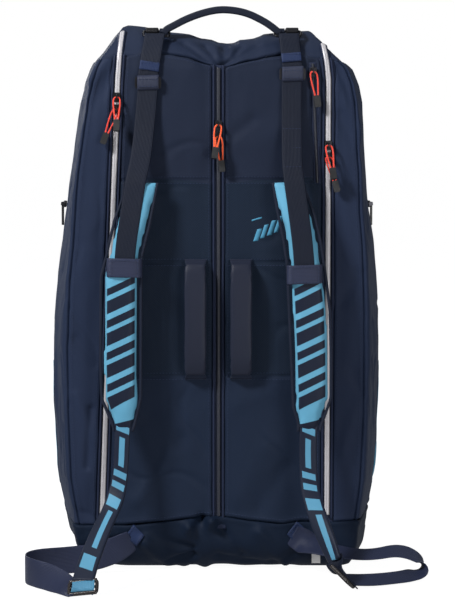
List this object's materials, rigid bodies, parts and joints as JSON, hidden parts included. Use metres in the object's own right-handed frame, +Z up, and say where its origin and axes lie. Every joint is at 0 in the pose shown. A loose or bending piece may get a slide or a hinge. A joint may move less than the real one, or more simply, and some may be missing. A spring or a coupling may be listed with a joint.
{
  "type": "racket tournament bag",
  "caption": "Tall soft racket bag standing on its wide end, with padded shoulder straps, front grips, a webbing top handle, long zips with cord pulls and adjustable lower webbing.",
  "frame": {"origin": "on the floor, under the middle of the bag's base", "axes": "+Z up along the bag's length, -Y out of the zipped front face that carries the shoulder straps, +X to the right of someone facing that face"},
  "size_m": [0.5596, 0.4989, 0.79],
  "materials": {
    "front_fabric": "woven polyester, matt",
    "side_fabric": "woven polyester, matt",
    "base_fabric": "coated woven polyester, matt",
    "lining": "padded lining",
    "board": "ribbed plastic board",
    "zip_tape": "knitted zip tape",
    "zip_silver": "silver-grey coated zip",
    "ring_metal": "black nickel",
    "slider_metal": "gunmetal",
    "webbing": "ribbed webbing",
    "buckle": "moulded acetal",
    "pad_print": "printed woven face over foam",
    "grip_fabric": "satin padded sleeve",
    "pull_cord": "braided cord",
    "pull_plastic": "moulded rubbery plastic",
    "tag": "white satin label"
  },
  "bodies": {
    "bag": {"front_panel_left": "front_fabric", "front_panel_right": "front_fabric", "front_strip_left": "side_fabric", "front_strip_right": "side_fabric", "side_panel_left": "side_fabric", "side_panel_right": "side_fabric", "top_panel": "front_fabric", "bottom_panel": "base_fabric", "back_panel": "side_fabric", "base_board": "board", "dividers": "lining", "zip_centre": "zip_tape", "zip_left": "zip_silver", "zip_right": "zip_silver", "pocket_zips": "zip_tape", "rings": "ring_metal", "webbing_tabs": "webbing", "care_tag": "tag"},
    "handle": {"top_handle": "webbing"},
    "grip_left": {"grip_left": "grip_fabric"},
    "grip_right": {"grip_right": "grip_fabric"},
    "strap_left": {"upper_webbing_left": "webbing", "bar_buckle_left": "buckle", "long_webbing_left": "webbing", "shoulder_pad_left": "pad_print", "cross_patch_left": "webbing", "ladder_lock_left": "buckle", "lower_webbing_left": "webbing"},
    "strap_right": {"upper_webbing_right": "webbing", "bar_buckle_right": "buckle", "long_webbing_right": "webbing", "shoulder_pad_right": "pad_print", "cross_patch_right": "webbing", "ladder_lock_right": "buckle", "lower_webbing_right": "webbing"},
    "slider_centre_upper": {"slider_centre_upper": "slider_metal"},
    "pull_centre_upper": {"pull_cord_centre_upper": "pull_cord", "pull_end_centre_upper": "pull_plastic"},
    "slider_centre_lower": {"slider_centre_lower": "slider_metal"},
    "pull_centre_lower": {"pull_cord_centre_lower": "pull_cord", "pull_end_centre_lower": "pull_plastic"},
    "slider_left_upper": {"slider_left_upper": "slider_metal"},
    "pull_left_upper": {"pull_cord_left_upper": "pull_cord", "pull_end_left_upper": "pull_plastic"},
    "slider_left_lower": {"slider_left_lower": "slider_metal"},
    "pull_left_lower": {"pull_cord_left_lower": "pull_cord", "pull_end_left_lower": "pull_plastic"},
    "slider_right_upper": {"slider_right_upper": "slider_metal"},
    "pull_right_upper": {"pull_cord_right_upper": "pull_cord", "pull_end_right_upper": "pull_plastic"},
    "slider_right_lower": {"slider_right_lower": "slider_metal"},
    "pull_right_lower": {"pull_cord_right_lower": "pull_cord", "pull_end_right_lower": "pull_plastic"},
    "slider_pocket": {"slider_pocket": "slider_metal"},
    "pull_pocket": {"pull_cord_pocket": "pull_cord", "pull_end_pocket": "pull_plastic"},
    "slider_side_left": {"slider_side_left": "slider_metal"},
    "pull_side_left": {"pull_side_left": "pull_plastic"},
    "slider_side_right": {"slider_side_right": "slider_metal"},
    "pull_side_right": {"pull_side_right": "pull_plastic"}
  },
  "joints": [
    {"name": "handle_swing", "type": "hinge", "parent": "bag", "child": "handle", "pos_m": [0, -0.12722, 0.75658], "axis": [1, 0, 0], "range_deg": [-60, 55]},
    {"name": "grip_left_flop", "type": "hinge", "parent": "bag", "child": "grip_left", "pos_m": [-0.0297, -0.151, 0.3575], "axis": [0, 0, 1], "range_deg": [-35, 35]},
    {"name": "grip_right_flop", "type": "hinge", "parent": "bag", "child": "grip_right", "pos_m": [0.0333, -0.151, 0.3575], "axis": [0, 0, 1], "range_deg": [-35, 35]},
    {"name": "strap_left_swing", "type": "hinge", "parent": "bag", "child": "strap_left", "pos_m": [0, -0.13589, 0.74981], "axis": [-1, 0, 0], "range_deg": [0, 12]},
    {"name": "strap_right_swing", "type": "hinge", "parent": "bag", "child": "strap_right", "pos_m": [0, -0.13589, 0.74981], "axis": [-1, 0, 0], "range_deg": [0, 12]},
    {"name": "zip_centre_upper_run", "type": "slide", "parent": "bag", "child": "slider_centre_upper", "axis": [0, 0, 1], "range_m": [0, 0.073]},
    {"name": "pull_centre_upper_flip", "type": "hinge", "parent": "slider_centre_upper", "child": "pull_centre_upper", "pos_m": [0.002, -0.1578, 0.627], "axis": [-1, 0, 0], "range_deg": [0, 130]},
    {"name": "zip_centre_lower_run", "type": "slide", "parent": "bag", "child": "slider_centre_lower", "axis": [0, 0, 1], "range_m": [-0.515, 0]},
    {"name": "pull_centre_lower_flip", "type": "hinge", "parent": "slider_centre_lower", "child": "pull_centre_lower", "pos_m": [0.002, -0.1578, 0.611], "axis": [-1, 0, 0], "range_deg": [0, 130]},
    {"name": "zip_left_upper_run", "type": "slide", "parent": "bag", "child": "slider_left_upper", "axis": [0.0395, 0, 0.9992], "range_m": [0, 0.043]},
    {"name": "pull_left_upper_flip", "type": "hinge", "parent": "slider_left_upper", "child": "pull_left_upper", "pos_m": [-0.13802, -0.1578, 0.665], "axis": [-1, 0, 0], "range_deg": [0, 130]},
    {"name": "zip_left_lower_run", "type": "slide", "parent": "bag", "child": "slider_left_lower", "axis": [0.0395, 0, 0.9992], "range_m": [-0.545, 0]},
    {"name": "pull_left_lower_flip", "type": "hinge", "parent": "slider_left_lower", "child": "pull_left_lower", "pos_m": [-0.13865, -0.1578, 0.649], "axis": [-1, 0, 0], "range_deg": [0, 130]},
    {"name": "zip_right_upper_run", "type": "slide", "parent": "bag", "child": "slider_right_upper", "axis": [0, 0, 1], "range_m": [0, 0.107]},
    {"name": "pull_right_upper_flip", "type": "hinge", "parent": "slider_right_upper", "child": "pull_right_upper", "pos_m": [0.154, -0.1578, 0.599], "axis": [-1, 0, 0], "range_deg": [0, 130]},
    {"name": "zip_right_lower_run", "type": "slide", "parent": "bag", "child": "slider_right_lower", "axis": [0, 0, 1], "range_m": [-0.48, 0]},
    {"name": "pull_right_lower_flip", "type": "hinge", "parent": "slider_right_lower", "child": "pull_right_lower", "pos_m": [0.154, -0.1578, 0.583], "axis": [-1, 0, 0], "range_deg": [0, 130]},
    {"name": "zip_pocket_run", "type": "slide", "parent": "bag", "child": "slider_pocket", "axis": [-0.0419, 0, 0.9991], "range_m": [-0.14, 0.004]},
    {"name": "pull_pocket_flip", "type": "hinge", "parent": "slider_pocket", "child": "pull_pocket", "pos_m": [0.1325, -0.1578, 0.7], "axis": [-1, 0, 0], "range_deg": [0, 130]},
    {"name": "zip_side_left_run", "type": "slide", "parent": "bag", "child": "slider_side_left", "axis": [0.1498, 0.9887, 0], "range_m": [-0.003, 0.117]},
    {"name": "pull_side_left_flip", "type": "hinge", "parent": "slider_side_left", "child": "pull_side_left", "pos_m": [-0.22625, 0.01692, 0.51293], "axis": [0.1498, 0.9887, 0], "range_deg": [0, 110]},
    {"name": "zip_side_right_run", "type": "slide", "parent": "bag", "child": "slider_side_right", "axis": [-0.1498, 0.9887, 0], "range_m": [-0.003, 0.117]},
    {"name": "pull_side_right_flip", "type": "hinge", "parent": "slider_side_right", "child": "pull_side_right", "pos_m": [0.22625, 0.01692, 0.51293], "axis": [0.1498, -0.9887, 0], "range_deg": [0, 110]}
  ],
  "couplings": [
    {"joint": "pull_centre_upper_flip", "follows": "pull_centre_lower_flip", "ratio": 1},
    {"joint": "pull_left_upper_flip", "follows": "pull_left_lower_flip", "ratio": 1},
    {"joint": "pull_right_upper_flip", "follows": "pull_right_lower_flip", "ratio": 1}
  ]
}
